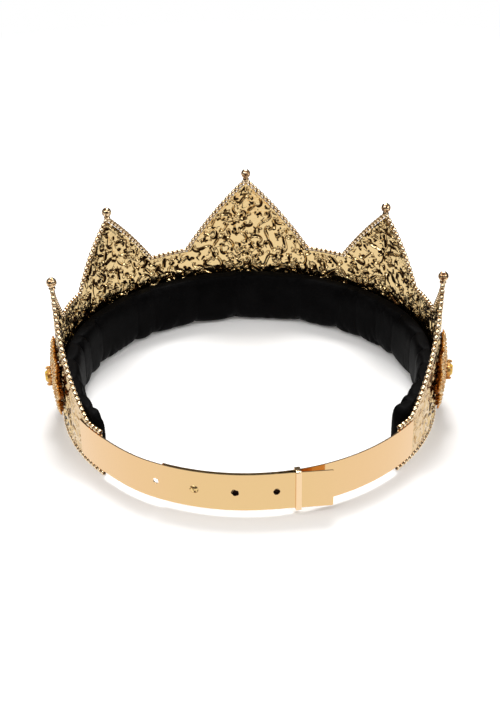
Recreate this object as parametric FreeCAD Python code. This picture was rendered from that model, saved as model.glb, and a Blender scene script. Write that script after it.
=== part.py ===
import FreeCAD, Part
import math
import os

# A metal crown: a pressed wall with five points, bead wires, medallions with stones,
# a padded lining, and two straps at the back that overlap under a stud and a sliding keeper.
# Millimetres. +Z is up and the front faces -Y. Plan angles are degrees from the front towards +X.

# Plan of the wall, at the middle of the sheet
HALF_WIDTH = 90.0
FRONT_HALF_DEPTH = 81.2
WALL_THICKNESS = 0.8
WALL_END_ANGLE = 133.0

# Heights of the wall sheet, and the five points
WIRE_HEIGHT = 2.3
WIRE_THICKNESS = 1.6
VALLEY_HEIGHT = 40.9
REAR_HEIGHT = 22.4
FRONT_POINT_HEIGHT = 77.3
FRONT_POINT_HALF_BASE = 31.0
NEXT_POINT_HEIGHT = 71.0
NEXT_POINT_HALF_BASE = 24.0
NEXT_POINT_ANGLE = 50.2
SIDE_POINT_HEIGHT = 69.1
SIDE_POINT_HALF_BASE = 24.5
SIDE_POINT_ANGLE = 99.7
REAR_SLOPE_LENGTH = 40.0
SLOPE_BULGE = 1.2
REAR_SLOPE_SAG = 2.6

# Embossed scrolls, proud of both faces of the sheet
RELIEF_HEIGHT = 0.6
RELIEF_WIDTH = 1.5
SCROLL_RADIUS = 4.6
SCROLL_SWEEP = 235.0
SCROLL_STEP = 10.4
SCROLL_LOW_HEIGHT = 11.5
SCROLL_HIGH_HEIGHT = 29.5
SCROLL_END_ANGLE = 112.0
SCROLL_BOSS_RADIUS = 1.4
POINT_SCROLL_RADIUS = 3.6
POINT_SCROLL_SPREAD = 5.6
POINT_SCROLL_RISE = 7.0
POINT_BOSS_RISE = 15.0

# Ball finials
FINIAL_SEAT_RISE = 2.3
FINIAL_NECK_RADIUS = 1.0
FINIAL_NECK_HEIGHT = 0.85
FINIAL_BALL_RADIUS = 2.4
FINIAL_BALL_SINK = 0.25

# Medallions, settings and stones
MEDALLION_HEIGHT = 24.7
PLATE_THICKNESS = 1.2
PLATE_DOME_DROP = 2.1
PLATE_CLEARANCE = 0.2
PLATE_SEAT_MARGIN = 0.6
PLATE_HUB_RADIUS = 8.2
LOBE_COUNT = 8
LOBE_CIRCLE_RADIUS = 12.2
LOBE_OUTER_RADIUS = 5.1
LOBE_INNER_RADIUS = 3.3
LEAF_TIP_RADIUS = 19.2
LEAF_HALF_WIDTH = 2.4
PLATE_BEAD_RADIUS = 1.0
PLATE_EDGE = 0.5
SETTING_RADIUS = 4.3
SETTING_HEIGHT = 1.8
SETTING_WALL = 0.7
SETTING_FLOOR = 0.4
CLAW_RADIUS = 0.6
CLAW_RISE = 1.0
CLAW_COUNT = 4
STONE_CLEARANCE = 0.1
STONE_GIRDLE_RISE = 0.9
STONE_TABLE_SHARE = 0.6
STONE_HEIGHT = 2.6
STONE_SIDES = 8

# Padded lining
LINING_CLEARANCE = 0.3
LINING_THICKNESS = 8.4
LINING_BOTTOM = 1.0
LINING_TOP = 27.5
LINING_END_ANGLE = 129.0
LINING_ROUND = 3.6
GATHER_STEP = 8.6
GATHER_RADIUS = 2.2
GATHER_DEPTH = 0.8
GATHER_SWAY = 1.6

# Straps, stud and keeper
STRAP_THICKNESS = 0.6
STRAP_WIDTH = 19.0
STRAP_BOTTOM = 3.2
OUTER_STRAP_LAP = 17.0
INNER_STRAP_LAP = 11.0
STRAP_SEAT_CLEARANCE = 0.05
STRAP_GAP = 0.5
STRAP_CORNER = 0.8
STUD_ANGLE = 164.6
HOLE_STEP = 18.0
HOLE_RADIUS = 1.4
INNER_STRAP_BEYOND_STUD = 15.0
OUTER_STRAP_BEYOND_HOLE = 24.5
SWELL_END_ANGLE = 151.0
STRAIGHT_START_ANGLE = 185.0
STUD_SHANK_CLEARANCE = 0.15
STUD_HEAD_RADIUS = 2.0
STUD_HEAD_HEIGHT = 0.9
STUD_FLANGE_RADIUS = 2.2
STUD_FLANGE_THICKNESS = 0.6
KEEPER_ANGLE = 192.7
KEEPER_WIDTH = 2.5
KEEPER_THICKNESS = 0.6
KEEPER_CLEARANCE = 0.3

# Worked out from the sizes above
BLOCK_REACH = HALF_WIDTH / 4
WALL_HALF = WALL_THICKNESS / 2
WIRE_HALF = WIRE_THICKNESS / 2
PLATE_FOOT = WALL_HALF + RELIEF_HEIGHT + PLATE_CLEARANCE
PLATE_BACK = PLATE_FOOT + PLATE_DOME_DROP
PLATE_FACE = PLATE_BACK + PLATE_THICKNESS
PLATE_DOME_RADIUS = (LEAF_TIP_RADIUS ** 2 + PLATE_DOME_DROP ** 2) / (2 * PLATE_DOME_DROP)
STONE_TOP = PLATE_FACE + SETTING_FLOOR + STONE_HEIGHT
STRAP_INNER_FACE = HALF_WIDTH + WALL_HALF + STRAP_SEAT_CLEARANCE
STRAP_OUTER_FACE = STRAP_INNER_FACE + STRAP_THICKNESS
OVERLAP_INNER_FACE = STRAP_OUTER_FACE + STRAP_GAP
OVERLAP_OUTER_FACE = OVERLAP_INNER_FACE + STRAP_THICKNESS
HOLE_STEP_ANGLE = math.degrees(HOLE_STEP / OVERLAP_OUTER_FACE)
STRAP_MIDDLE = STRAP_BOTTOM + STRAP_WIDTH / 2
SHIFT_Y = (FRONT_HALF_DEPTH + STONE_TOP - OVERLAP_OUTER_FACE) / 2
UP = FreeCAD.Vector(0, 0, 1)
POINTS = {
    "front": (0.0, FRONT_POINT_HEIGHT, FRONT_POINT_HALF_BASE),
    "front_left": (NEXT_POINT_ANGLE, NEXT_POINT_HEIGHT, NEXT_POINT_HALF_BASE),
    "front_right": (-NEXT_POINT_ANGLE, NEXT_POINT_HEIGHT, NEXT_POINT_HALF_BASE),
    "side_left": (SIDE_POINT_ANGLE, SIDE_POINT_HEIGHT, SIDE_POINT_HALF_BASE),
    "side_right": (-SIDE_POINT_ANGLE, SIDE_POINT_HEIGHT, SIDE_POINT_HALF_BASE),
}


def plan_point(angle, offset=0.0, z=0.0):
    """The plan at an angle: half an ellipse in front, half a circle behind."""
    turn = math.radians(angle)
    depth = FRONT_HALF_DEPTH if math.cos(turn) > 0 else HALF_WIDTH
    return FreeCAD.Vector((HALF_WIDTH + offset) * math.sin(turn), -(depth + offset) * math.cos(turn), z)


def plan_axes(angle):
    """The unit vectors along the wall and out of it, at an angle."""
    turn = math.radians(angle)
    depth = FRONT_HALF_DEPTH if math.cos(turn) > 0 else HALF_WIDTH
    along = FreeCAD.Vector(HALF_WIDTH * math.cos(turn), depth * math.sin(turn), 0).normalize()
    return along, along.cross(UP)


def stand_on_wall(shape, angle, z, offset=0.0):
    """Turn a shape so that its X runs along the wall, its Y up and its Z out of the wall."""
    along, out = plan_axes(angle)
    foot = plan_point(angle) + out * offset
    matrix = FreeCAD.Matrix(along.x, 0, out.x, foot.x, along.y, 0, out.y, foot.y, 0, 1, 0, z, 0, 0, 0, 1)
    placed = shape.copy()
    placed.Placement = FreeCAD.Placement(matrix)
    return placed


def ellipse_arc(offset, z, low, high):
    """The front of the plan curve between two angles, whichever axis of the ellipse is the longer."""
    centre = FreeCAD.Vector(0, 0, z)
    across = HALF_WIDTH + offset
    deep = FRONT_HALF_DEPTH + offset
    if across >= deep:
        curve = Part.Ellipse(centre, across, deep)
        return Part.ArcOfEllipse(curve, math.radians(low - 90.0), math.radians(high - 90.0))
    front = centre - FreeCAD.Vector(0, deep, 0)
    side = centre + FreeCAD.Vector(across, 0, 0)
    return Part.ArcOfEllipse(Part.Ellipse(front, side, centre), math.radians(low), math.radians(high))


def plan_edges(offset, z, start, end):
    """Edges of the plan curve from one angle to another, split where the ellipse meets the circle."""
    stops = [start] + [a for a in (-90.0, 90.0) if start < a < end] + [end]
    edges = []
    for low, high in zip(stops, stops[1:]):
        if abs(low + high) / 2 < 90.0:
            arc = ellipse_arc(offset, z, low, high)
        else:
            curve = Part.Circle(FreeCAD.Vector(0, 0, z), UP, HALF_WIDTH + offset)
            arc = Part.ArcOfCircle(curve, math.radians(low - 90.0), math.radians(high - 90.0))
        edges.append(arc.toShape())
    return edges


def prism(edges, direction):
    """The solid that a closed set of edges sweeps along a direction."""
    wire = Part.Wire(Part.__sortEdges__(edges))
    return Part.Face(wire).extrude(direction)


def band(inner, outer, bottom, top, start, end):
    """A piece of the wall's plan between two offsets, two heights and two angles."""
    ends = [Part.LineSegment(plan_point(a, inner, bottom), plan_point(a, outer, bottom)).toShape()
            for a in (start, end)]
    edges = plan_edges(inner, bottom, start, end) + plan_edges(outer, bottom, start, end) + ends
    return prism(edges, UP * (top - bottom))


def slope_edge(low, high, bulge):
    """An edge of a point, from its foot to its tip, bowed outwards by the bulge."""
    middle = (low + high) * 0.5
    run = high - low
    side = FreeCAD.Vector(-run.y, run.x, 0).normalize() * math.copysign(1.0, run.x)
    return Part.Arc(low, middle + side * bulge, high).toShape()


def lifted_slope(half_base, tip, foot, lift):
    """Foot distance and tip height of a slope moved out by the lift."""
    steepness = (tip - foot) / half_base
    rise = lift * math.hypot(1.0, steepness)
    return half_base + (rise - lift) / steepness, tip + rise


def point_face_edges(name, lift):
    """The outline of one point on the tangent plane: X along the wall, Y up."""
    angle, tip, half_base = POINTS[name]
    rearward = 1.0 if angle > 0 else -1.0
    near, tip_height = lifted_slope(half_base, tip, VALLEY_HEIGHT, lift)
    if name.startswith("side"):
        far = lifted_slope(REAR_SLOPE_LENGTH, tip, REAR_HEIGHT, lift)[0]
        far_foot = REAR_HEIGHT + lift
        far_bulge = -REAR_SLOPE_SAG
    else:
        far = near
        far_foot = VALLEY_HEIGHT + lift
        far_bulge = SLOPE_BULGE
    low_near = FreeCAD.Vector(-rearward * near, WIRE_HEIGHT, 0)
    top_near = FreeCAD.Vector(-rearward * near, VALLEY_HEIGHT + lift, 0)
    apex = FreeCAD.Vector(0, tip_height, 0)
    top_far = FreeCAD.Vector(rearward * far, far_foot, 0)
    low_far = FreeCAD.Vector(rearward * far, WIRE_HEIGHT, 0)
    return [
        Part.LineSegment(low_near, top_near).toShape(),
        slope_edge(top_near, apex, SLOPE_BULGE),
        slope_edge(top_far, apex, far_bulge),
        Part.LineSegment(top_far, low_far).toShape(),
        Part.LineSegment(low_far, low_near).toShape(),
    ]


def sheet(half_thickness, lift):
    """The wall's outline as a sheet of any thickness, with its top edge lifted."""
    tallest = max(tip for angle, tip, half_base in POINTS.values()) + BLOCK_REACH
    valley = VALLEY_HEIGHT + lift
    rear = REAR_HEIGHT + lift
    ring = (-half_thickness, half_thickness, WIRE_HEIGHT)
    parts = [band(*ring, valley, -SIDE_POINT_ANGLE, SIDE_POINT_ANGLE)]
    parts.append(band(*ring, rear, SIDE_POINT_ANGLE, WALL_END_ANGLE))
    parts.append(band(*ring, rear, -WALL_END_ANGLE, -SIDE_POINT_ANGLE))
    full = band(*ring, tallest, -WALL_END_ANGLE, WALL_END_ANGLE)
    for name, (angle, tip, half_base) in POINTS.items():
        block = prism(point_face_edges(name, lift), UP * (2 * BLOCK_REACH))
        parts.append(full.common(stand_on_wall(block, angle, 0.0, -BLOCK_REACH)))
    return parts[0].multiFuse(parts[1:]).removeSplitter()


def scroll_edges(radius, start, centre=FreeCAD.Vector(0, 0, 0)):
    """The outline of an open C scroll as a flat strip with square ends."""
    turns = (math.radians(start), math.radians(start + SCROLL_SWEEP))
    radii = (radius - RELIEF_WIDTH / 2, radius + RELIEF_WIDTH / 2)
    edges = [Part.ArcOfCircle(Part.Circle(centre, UP, r), *turns).toShape() for r in radii]
    for turn in turns:
        inner, outer = (centre + FreeCAD.Vector(r * math.cos(turn), r * math.sin(turn), 0) for r in radii)
        edges.append(Part.LineSegment(inner, outer).toShape())
    return edges


def relief_on_wall(flat, angle, z):
    """Stand a flat relief shape in the sheet so that it is proud of both faces."""
    return stand_on_wall(flat, angle, z, -WALL_HALF - RELIEF_HEIGHT)


def relief():
    """All the embossed scrolls and bosses of the wall."""
    through = WALL_THICKNESS + 2 * RELIEF_HEIGHT
    boss = Part.makeCylinder(SCROLL_BOSS_RADIUS, through)
    shapes = []
    step_angle = math.degrees(SCROLL_STEP / HALF_WIDTH)
    columns = int(SCROLL_END_ANGLE / step_angle)
    rows = ((SCROLL_LOW_HEIGHT, 0), (SCROLL_HIGH_HEIGHT, 1))
    for column in range(-columns, columns + 1):
        for height, phase in rows:
            opening = 90.0 if (column + phase) % 2 else -90.0
            start = opening + (360.0 - SCROLL_SWEEP) / 2
            scroll = prism(scroll_edges(SCROLL_RADIUS, start), UP * through)
            angle = column * step_angle
            shapes.append(relief_on_wall(scroll, angle, height))
            shapes.append(relief_on_wall(boss, angle, height))
    for angle, tip, half_base in POINTS.values():
        for side in (-1, 1):
            start = (90.0 - side * 90.0) + (360.0 - SCROLL_SWEEP) / 2
            centre = FreeCAD.Vector(side * POINT_SCROLL_SPREAD, 0, 0)
            scroll = prism(scroll_edges(POINT_SCROLL_RADIUS, start, centre), UP * through)
            shapes.append(relief_on_wall(scroll, angle, VALLEY_HEIGHT + POINT_SCROLL_RISE))
        shapes.append(relief_on_wall(boss, angle, VALLEY_HEIGHT + POINT_BOSS_RISE))
    return shapes


def crown_wall():
    return sheet(WALL_HALF, 0.0).multiFuse(relief()).removeSplitter()


def top_bead_wire():
    """The wire along the top edge, cut flat under each finial."""
    wire = sheet(WIRE_HALF, WIRE_HEIGHT).cut(sheet(WIRE_HALF, 0.0))
    size = 4 * WIRE_HEIGHT
    block = Part.makeBox(size, size, size, FreeCAD.Vector(-size / 2, 0, -size / 2))
    for angle, tip, half_base in POINTS.values():
        wire = wire.cut(stand_on_wall(block, angle, tip + FINIAL_SEAT_RISE))
    return wire


def bottom_bead_wire():
    return band(-WIRE_HALF, WIRE_HALF, 0.0, WIRE_HEIGHT, -WALL_END_ANGLE, WALL_END_ANGLE)


def finial(name):
    """A neck and a ball on the flat at the tip of a point."""
    angle, tip, half_base = POINTS[name]
    seat = plan_point(angle, 0.0, tip + FINIAL_SEAT_RISE)
    neck = Part.makeCylinder(FINIAL_NECK_RADIUS, FINIAL_NECK_HEIGHT, seat)
    rise = FINIAL_NECK_HEIGHT + FINIAL_BALL_RADIUS - FINIAL_BALL_SINK
    ball = Part.makeSphere(FINIAL_BALL_RADIUS, seat + UP * rise)
    return neck.fuse(ball)


def turned(shape, degrees):
    copy = shape.copy()
    copy.rotate(FreeCAD.Vector(0, 0, 0), UP, degrees)
    return copy


def dome_rise(radius):
    """Height of the medallion's domed face at a distance from its centre."""
    drop = PLATE_DOME_RADIUS - math.sqrt(PLATE_DOME_RADIUS ** 2 - radius ** 2)
    return PLATE_THICKNESS - drop


def medallion_plate():
    """A domed, pierced plate of rings and leaf tips round a hub.

    The face is at Z = PLATE_THICKNESS in the middle. The foot lies over the embossing, below Z = 0.
    """
    depth = PLATE_DOME_DROP + PLATE_THICKNESS
    foot = FreeCAD.Vector(0, 0, -PLATE_DOME_DROP)
    ring = Part.makeCylinder(LOBE_OUTER_RADIUS, depth)
    ring = ring.cut(Part.makeCylinder(LOBE_INNER_RADIUS, depth))
    ring.translate(foot + FreeCAD.Vector(LOBE_CIRCLE_RADIUS, 0, 0))
    leaf_foot = LOBE_CIRCLE_RADIUS + (LOBE_INNER_RADIUS + LOBE_OUTER_RADIUS) / 2
    corners = [(leaf_foot, -LEAF_HALF_WIDTH), (LEAF_TIP_RADIUS, 0.0), (leaf_foot, LEAF_HALF_WIDTH)]
    outline = Part.makePolygon([foot + FreeCAD.Vector(x, y, 0) for x, y in corners + corners[:1]])
    leaf = Part.Face(outline).extrude(UP * depth)
    flat = []
    for number in range(LOBE_COUNT):
        step = number * 360.0 / LOBE_COUNT
        flat += [turned(ring, step), turned(leaf, step)]
    dome = Part.makeSphere(PLATE_DOME_RADIUS, FreeCAD.Vector(0, 0, PLATE_THICKNESS - PLATE_DOME_RADIUS))
    plate = Part.makeCylinder(PLATE_HUB_RADIUS, depth, foot).multiFuse(flat).common(dome)
    bead_circle = PLATE_HUB_RADIUS - PLATE_BEAD_RADIUS - PLATE_EDGE
    bead = Part.makeSphere(PLATE_BEAD_RADIUS, FreeCAD.Vector(bead_circle, 0, dome_rise(bead_circle)))
    solid = [Part.makeCylinder(SETTING_RADIUS + PLATE_SEAT_MARGIN, PLATE_THICKNESS)]
    solid += [turned(bead, (number + 0.5) * 360.0 / LOBE_COUNT) for number in range(LOBE_COUNT)]
    return plate.multiFuse(solid).removeSplitter()


def stone_setting():
    """A cup with claws. Its back is at Z = 0."""
    cup = Part.makeCylinder(SETTING_RADIUS, SETTING_HEIGHT)
    bore = Part.makeCylinder(SETTING_RADIUS - SETTING_WALL, SETTING_HEIGHT,
                             FreeCAD.Vector(0, 0, SETTING_FLOOR))
    claw = Part.makeCylinder(CLAW_RADIUS, SETTING_HEIGHT + CLAW_RISE,
                             FreeCAD.Vector(SETTING_RADIUS, 0, 0))
    claws = [turned(claw, number * 360.0 / CLAW_COUNT) for number in range(CLAW_COUNT)]
    return cup.cut(bore).multiFuse(claws).removeSplitter()


def stone():
    """A cut stone with flat facets that sits on the floor of its cup. Its back is at Z = 0."""
    girdle = SETTING_RADIUS - SETTING_WALL - STONE_CLEARANCE
    table = girdle * STONE_TABLE_SHARE
    levels = ((table, 0.0), (girdle, STONE_GIRDLE_RISE), (table, STONE_HEIGHT))
    rings = []
    for radius, z in levels:
        corners = []
        for number in range(STONE_SIDES + 1):
            turn = 2 * math.pi * (number + 0.5) / STONE_SIDES
            corners.append(FreeCAD.Vector(radius * math.cos(turn), radius * math.sin(turn), z))
        rings.append(Part.makePolygon(corners))
    return Part.makeLoft(rings, True, True)


def lining():
    """A padded band inside the wall, rounded along its inner edges and gathered by soft folds."""
    outer = -WALL_HALF - RELIEF_HEIGHT - LINING_CLEARANCE
    inner = outer - LINING_THICKNESS
    pad = band(inner, outer, LINING_BOTTOM, LINING_TOP, -LINING_END_ANGLE, LINING_END_ANGLE)
    middle = (FRONT_HALF_DEPTH + HALF_WIDTH) / 2 + (inner + outer) / 2
    rounded = []
    for edge in pad.Edges:
        box = edge.BoundBox
        spot = edge.valueAt((edge.FirstParameter + edge.LastParameter) / 2)
        is_level = box.ZLength < LINING_CLEARANCE
        is_long = edge.Length > 2 * LINING_THICKNESS
        if is_level and is_long and is_inside(spot, inner):
            rounded.append(edge)
    pad = pad.makeFillet(LINING_ROUND, rounded)
    fold = Part.makeCylinder(GATHER_RADIUS, LINING_TOP - LINING_BOTTOM + 2 * LINING_ROUND)
    folds = []
    step_angle = math.degrees(GATHER_STEP / middle)
    for number in range(int(-LINING_END_ANGLE / step_angle), int(LINING_END_ANGLE / step_angle) + 1):
        sway = GATHER_SWAY * math.sin(5.0 * number)
        spot = plan_point(number * step_angle + sway, inner - GATHER_RADIUS + GATHER_DEPTH)
        folds.append(fold.translated(spot + UP * (LINING_BOTTOM - LINING_ROUND)))
    return pad.cut(folds)


def is_inside(spot, offset):
    """Whether a point lies on the plan curve at this offset, rather than outside it."""
    depth = FRONT_HALF_DEPTH if spot.y < 0 else HALF_WIDTH
    level = math.hypot(spot.x / (HALF_WIDTH + offset), spot.y / (depth + offset))
    return level < 1.0 + LINING_CLEARANCE / HALF_WIDTH


def radial(angle):
    turn = math.radians(angle)
    return FreeCAD.Vector(math.sin(turn), -math.cos(turn), 0)


def swelling_face(attached, overlapping, angle):
    """Radius of a face of the outer strap, which leaves the wall to pass over the inner strap."""
    share = (angle - WALL_END_ANGLE) / (SWELL_END_ANGLE - WALL_END_ANGLE)
    share = min(max(share, 0.0), 1.0)
    return attached + (overlapping - attached) * share * share * (3.0 - 2.0 * share)


def outer_strap_edges(attached, overlapping, start, length):
    """One face of the outer strap in plan: curved, then straight to its free end."""
    steps = 24
    spots = []
    for number in range(steps + 1):
        angle = start + (STRAIGHT_START_ANGLE - start) * number / steps
        spots.append(radial(angle) * swelling_face(attached, overlapping, angle) + UP * STRAP_BOTTOM)
    curve = Part.BSplineCurve()
    curve.interpolate(spots)
    tip = spots[-1] + radial(STRAIGHT_START_ANGLE + 90.0) * length
    return [curve.toShape(), Part.LineSegment(spots[-1], tip).toShape()], spots[0], tip


def hole_angles():
    """The four holes of the outer strap. The stud is in the second one."""
    return [STUD_ANGLE + HOLE_STEP_ANGLE * number for number in (-1, 0, 1, 2)]


def strap_hole(angle):
    drill = Part.makeCylinder(HOLE_RADIUS, OVERLAP_OUTER_FACE - STRAP_INNER_FACE + HOLE_STEP,
                              radial(angle) * (STRAP_INNER_FACE - HOLE_STEP / 2), radial(angle))
    return drill.translated(UP * STRAP_MIDDLE)


def with_round_end(strap, spot):
    """Round the two corners of a strap's end that lies near a spot in plan."""
    corners = []
    for edge in strap.Edges:
        middle = edge.valueAt((edge.FirstParameter + edge.LastParameter) / 2)
        away = math.hypot(middle.x - spot.x, middle.y - spot.y)
        if away < STRAP_THICKNESS and edge.BoundBox.ZLength < STRAP_THICKNESS:
            if edge.Length < 2 * STRAP_THICKNESS:
                corners.append(edge)
    return strap.makeFillet(STRAP_CORNER, corners)


def outer_strap():
    start = WALL_END_ANGLE - math.degrees(OUTER_STRAP_LAP / HALF_WIDTH)
    last_hole = hole_angles()[-1]
    arc_beyond = math.radians(last_hole - STRAIGHT_START_ANGLE) * OVERLAP_OUTER_FACE
    length = arc_beyond + OUTER_STRAP_BEYOND_HOLE
    inner, inner_start, inner_tip = outer_strap_edges(STRAP_INNER_FACE, OVERLAP_INNER_FACE, start, length)
    outer, outer_start, outer_tip = outer_strap_edges(STRAP_OUTER_FACE, OVERLAP_OUTER_FACE, start, length)
    pairs = ((inner_start, outer_start), (inner_tip, outer_tip))
    ends = [Part.LineSegment(*pair).toShape() for pair in pairs]
    strap = prism(inner + outer + ends, UP * STRAP_WIDTH)
    strap = with_round_end(strap, (inner_tip + outer_tip) * 0.5)
    strap = strap.cut([strap_hole(angle) for angle in hole_angles()])
    return strap


def ring_sector(inner, outer, bottom, top, start, end):
    """A sector of a round ring about the crown's axis."""
    section = [(inner, bottom), (outer, bottom), (outer, top), (inner, top), (inner, bottom)]
    side = radial(start)
    outline = Part.makePolygon([side * r + UP * z for r, z in section])
    return Part.Face(outline).revolve(FreeCAD.Vector(0, 0, 0), UP, end - start)


def inner_strap():
    start = STUD_ANGLE - math.degrees(INNER_STRAP_BEYOND_STUD / STRAP_OUTER_FACE)
    end = 360.0 - WALL_END_ANGLE + math.degrees(INNER_STRAP_LAP / HALF_WIDTH)
    top = STRAP_BOTTOM + STRAP_WIDTH
    strap = ring_sector(STRAP_INNER_FACE, STRAP_OUTER_FACE, STRAP_BOTTOM, top, start, end)
    tip = radial(start) * (STRAP_INNER_FACE + STRAP_OUTER_FACE) * 0.5
    return with_round_end(strap, tip).cut(strap_hole(STUD_ANGLE))


def strap_stud():
    """A flange inside the straps, a shank through both and a domed head outside."""
    foot = STRAP_INNER_FACE - STRAP_SEAT_CLEARANCE - STUD_FLANGE_THICKNESS
    flange_face = foot + STUD_FLANGE_THICKNESS
    head = OVERLAP_OUTER_FACE + STRAP_SEAT_CLEARANCE
    shank_radius = HOLE_RADIUS - STUD_SHANK_CLEARANCE
    dome_radius = (STUD_HEAD_RADIUS ** 2 + STUD_HEAD_HEIGHT ** 2) / (2 * STUD_HEAD_HEIGHT)
    half_turn = math.asin(STUD_HEAD_RADIUS / dome_radius) / 2
    top = head + STUD_HEAD_HEIGHT
    corners = [(0.0, top), (0.0, foot), (STUD_FLANGE_RADIUS, foot), (STUD_FLANGE_RADIUS, flange_face),
               (shank_radius, flange_face), (shank_radius, head), (STUD_HEAD_RADIUS, head)]
    spots = [FreeCAD.Vector(r, 0, z) for r, z in corners]
    on_dome = FreeCAD.Vector(dome_radius * math.sin(half_turn), 0,
                             top - dome_radius * (1.0 - math.cos(half_turn)))
    dome = Part.Arc(spots[-1], on_dome, spots[0]).toShape()
    section = Part.Face(Part.Wire(Part.makePolygon(spots).Edges + [dome]))
    stud = section.revolve(FreeCAD.Vector(0, 0, 0), UP, 360)
    out = radial(STUD_ANGLE)
    stud.Placement = FreeCAD.Placement(UP * STRAP_MIDDLE, FreeCAD.Rotation(UP, out))
    return stud


def keeper_loop():
    """A flat loop round both straps, concentric with them so that it slides along them."""
    half_angle = math.degrees(KEEPER_WIDTH / 2 / OVERLAP_OUTER_FACE)
    farthest = math.radians(KEEPER_ANGLE + half_angle - STRAIGHT_START_ANGLE)
    low_hole = STRAP_INNER_FACE - KEEPER_CLEARANCE
    high_hole = OVERLAP_OUTER_FACE / math.cos(farthest) + KEEPER_CLEARANCE
    bottom_hole = STRAP_BOTTOM - KEEPER_CLEARANCE
    top_hole = STRAP_BOTTOM + STRAP_WIDTH + KEEPER_CLEARANCE
    span = (KEEPER_ANGLE - half_angle, KEEPER_ANGLE + half_angle)
    body = ring_sector(low_hole - KEEPER_THICKNESS, high_hole + KEEPER_THICKNESS,
                       bottom_hole - KEEPER_THICKNESS, top_hole + KEEPER_THICKNESS, *span)
    hole = ring_sector(low_hole, high_hole, bottom_hole, top_hole, *span)
    return body.cut(hole)


def build():
    """Every piece of the crown by name, about the axis of the plan."""
    pieces = {
        "crown_wall": crown_wall(),
        "top_bead_wire": top_bead_wire(),
        "bottom_bead_wire": bottom_bead_wire(),
        "lining": lining(),
        "outer_strap": outer_strap(),
        "inner_strap": inner_strap(),
        "strap_stud": strap_stud(),
        "keeper_loop": keeper_loop(),
    }
    plate = medallion_plate()
    setting = stone_setting()
    gem = stone()
    for name, (angle, tip, half_base) in POINTS.items():
        pieces[name + "_finial"] = finial(name)
        pieces[name + "_medallion"] = stand_on_wall(plate, angle, MEDALLION_HEIGHT, PLATE_BACK)
        pieces[name + "_setting"] = stand_on_wall(setting, angle, MEDALLION_HEIGHT, PLATE_FACE)
        pieces[name + "_stone"] = stand_on_wall(gem, angle, MEDALLION_HEIGHT, PLATE_FACE + SETTING_FLOOR)
    return pieces


os.makedirs("parts", exist_ok=True)
for node, shape in build().items():
    if len(shape.Solids) == 1:
        shape = shape.Solids[0]
    shape = shape.translated(FreeCAD.Vector(0, SHIFT_Y, 0))
    shape.exportStep("parts/" + node + ".step")
    box = shape.BoundBox
    print(node, len(shape.Solids), len(shape.Faces), shape.isValid(), round(shape.Volume, 1),
          [round(v, 1) for v in (box.XMin, box.XMax, box.YMin, box.YMax, box.ZMin, box.ZMax)])
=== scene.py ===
import math

import bmesh
import bpy
import numpy as np
from mathutils import Matrix, Vector

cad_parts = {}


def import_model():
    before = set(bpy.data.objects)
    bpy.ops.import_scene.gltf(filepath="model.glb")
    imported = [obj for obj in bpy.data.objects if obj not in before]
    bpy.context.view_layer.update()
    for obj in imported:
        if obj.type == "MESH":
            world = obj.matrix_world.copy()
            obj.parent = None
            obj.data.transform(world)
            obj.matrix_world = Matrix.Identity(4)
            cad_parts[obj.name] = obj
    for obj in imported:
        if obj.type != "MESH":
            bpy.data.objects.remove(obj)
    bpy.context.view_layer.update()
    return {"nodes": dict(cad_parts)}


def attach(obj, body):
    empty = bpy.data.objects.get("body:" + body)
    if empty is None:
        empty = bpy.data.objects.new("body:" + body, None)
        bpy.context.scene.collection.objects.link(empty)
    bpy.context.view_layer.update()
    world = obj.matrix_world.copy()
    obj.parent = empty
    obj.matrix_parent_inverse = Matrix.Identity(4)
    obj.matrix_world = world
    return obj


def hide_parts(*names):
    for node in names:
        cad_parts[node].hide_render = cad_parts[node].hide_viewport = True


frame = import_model()

# Lengths are in millimetres, as in the part's source, and turn into metres when a mesh is made.
# +Z is up and the front faces -Y. Plan angles are degrees from the front towards +X.
MM = 0.001
TURN = 2 * math.pi
SEED = 11
WELD_DISTANCE = 0.002
SHORTEST_EDGE = 0.001

# Plan of the wall, and the shift that centres the crown
HALF_WIDTH = 90.0
FRONT_HALF_DEPTH = 81.2
WALL_HALF = 0.4
WALL_END_ANGLE = 133.0
SHIFT_Y = -1.725

# Heights of the wall sheet, and the five points
WIRE_HEIGHT = 2.3
VALLEY_HEIGHT = 40.9
REAR_HEIGHT = 22.4
REAR_SLOPE_LENGTH = 40.0
SLOPE_BULGE = 1.2
REAR_SLOPE_SAG = 2.6
NEXT_POINT_ANGLE = 50.2
SIDE_POINT_ANGLE = 99.7
POINTS = {
    "front": (0.0, 77.3, 31.0),
    "front_left": (NEXT_POINT_ANGLE, 71.0, 24.0),
    "front_right": (-NEXT_POINT_ANGLE, 71.0, 24.0),
    "side_left": (SIDE_POINT_ANGLE, 69.1, 24.5),
    "side_right": (-SIDE_POINT_ANGLE, 69.1, 24.5),
}

# Embossing: its depth either side of the sheet's own place, and the raster that it is drawn on
RELIEF_RISE = 0.52
RELIEF_SINK = 0.16
RELIEF_FADE = 1.3
DENSE_FROM = 36.0
RELIEF_CALM_FROM = 106.0
RELIEF_CALM_TO = 120.0
RELIEF_CALM_SHARE = 0.45
WALL_SHARP_ANGLE = 60.0
RASTER_STEP = 0.15
RASTER_TOP = 82.0
SCROLL_HOOK = (2.6, 4.6)
SCROLL_BEND = (0.5, 1.3)
SCROLL_LENGTH = (2.6, 3.4)
SCROLL_WIDTH = (0.42, 0.62)
SCROLL_C_SHARE = 0.55
SCROLL_SPOTS = 42
FOLD_GAP = 0.12
FOLD_WIDTH = (0.42, 0.66)
FOLD_LEVEL = (0.7, 1.5)
COMMA_TURN = (-2.4, 2.4)
COMMA_LENGTH = (1.3, 2.2)
COMMA_SPOTS = 12
FLAT_TOPPED = 4
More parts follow.
